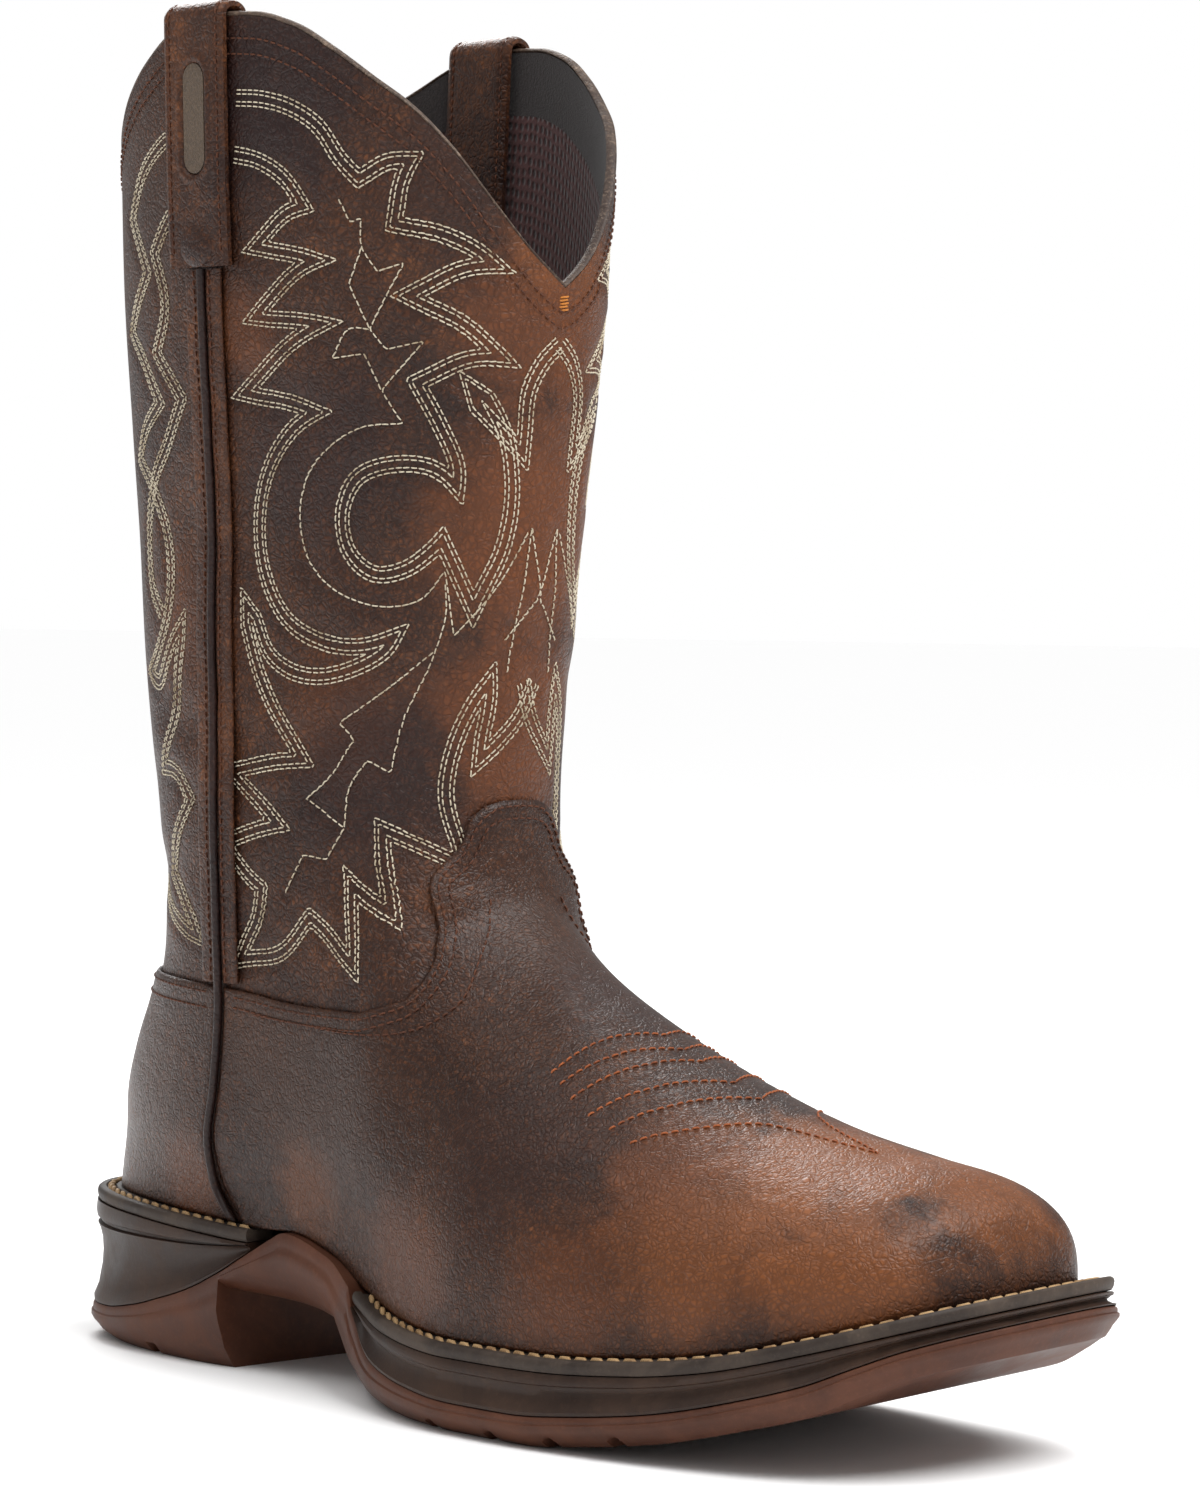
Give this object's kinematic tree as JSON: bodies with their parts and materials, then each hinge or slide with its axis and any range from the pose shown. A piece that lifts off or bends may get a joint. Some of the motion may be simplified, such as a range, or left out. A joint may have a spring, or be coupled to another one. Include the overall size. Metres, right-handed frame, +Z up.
{
  "type": "western work boot",
  "caption": "Pull-on western work boot with a tall scalloped shaft, side pull straps, broad square toe, stitched welt and lugged rubber outsole.",
  "frame": {"origin": "on the floor, under the middle of the boot's bounding box", "axes": "+X towards the toe, +Y towards the wearer's inner (medial) side, +Z up along the shaft"},
  "size_m": [0.3148, 0.115, 0.345],
  "materials": {
    "shaft_leather": "pull-up leather, satin with rubbed rust-brown areas",
    "vamp_leather": "oiled pull-up leather, satin to semi-gloss",
    "trim_leather": "dark edge leather, satin",
    "strap_leather": "pull-up leather, satin",
    "patch_suede": "plain matte suede inset",
    "binding": "folded collar edge",
    "insole": "matte cushioned sockliner",
    "welt_rubber": "matte dark welt with tan stitching",
    "midsole_rubber": "satin dark brown rubber",
    "outsole_rubber": "satin red-brown rubber"
  },
  "bodies": {
    "root": {"outsole": "outsole_rubber", "heel_wrap": "midsole_rubber", "midsole_forefoot": "midsole_rubber", "welt_heel": "welt_rubber", "welt_forefoot": "welt_rubber", "insole": "insole", "upper": "shaft_leather", "vamp": "vamp_leather", "counter": "vamp_leather", "collar_binding": "binding", "seam_strip_front_lateral": "shaft_leather", "seam_strip_rear_lateral": "shaft_leather", "seam_strip_front_medial": "shaft_leather", "seam_strip_rear_medial": "shaft_leather", "piping_lateral": "trim_leather", "piping_medial": "trim_leather", "pull_strap_lateral": "strap_leather", "pull_strap_medial": "strap_leather", "strap_patch_lateral": "patch_suede", "strap_patch_medial": "patch_suede"}
  },
  "joints": []
}
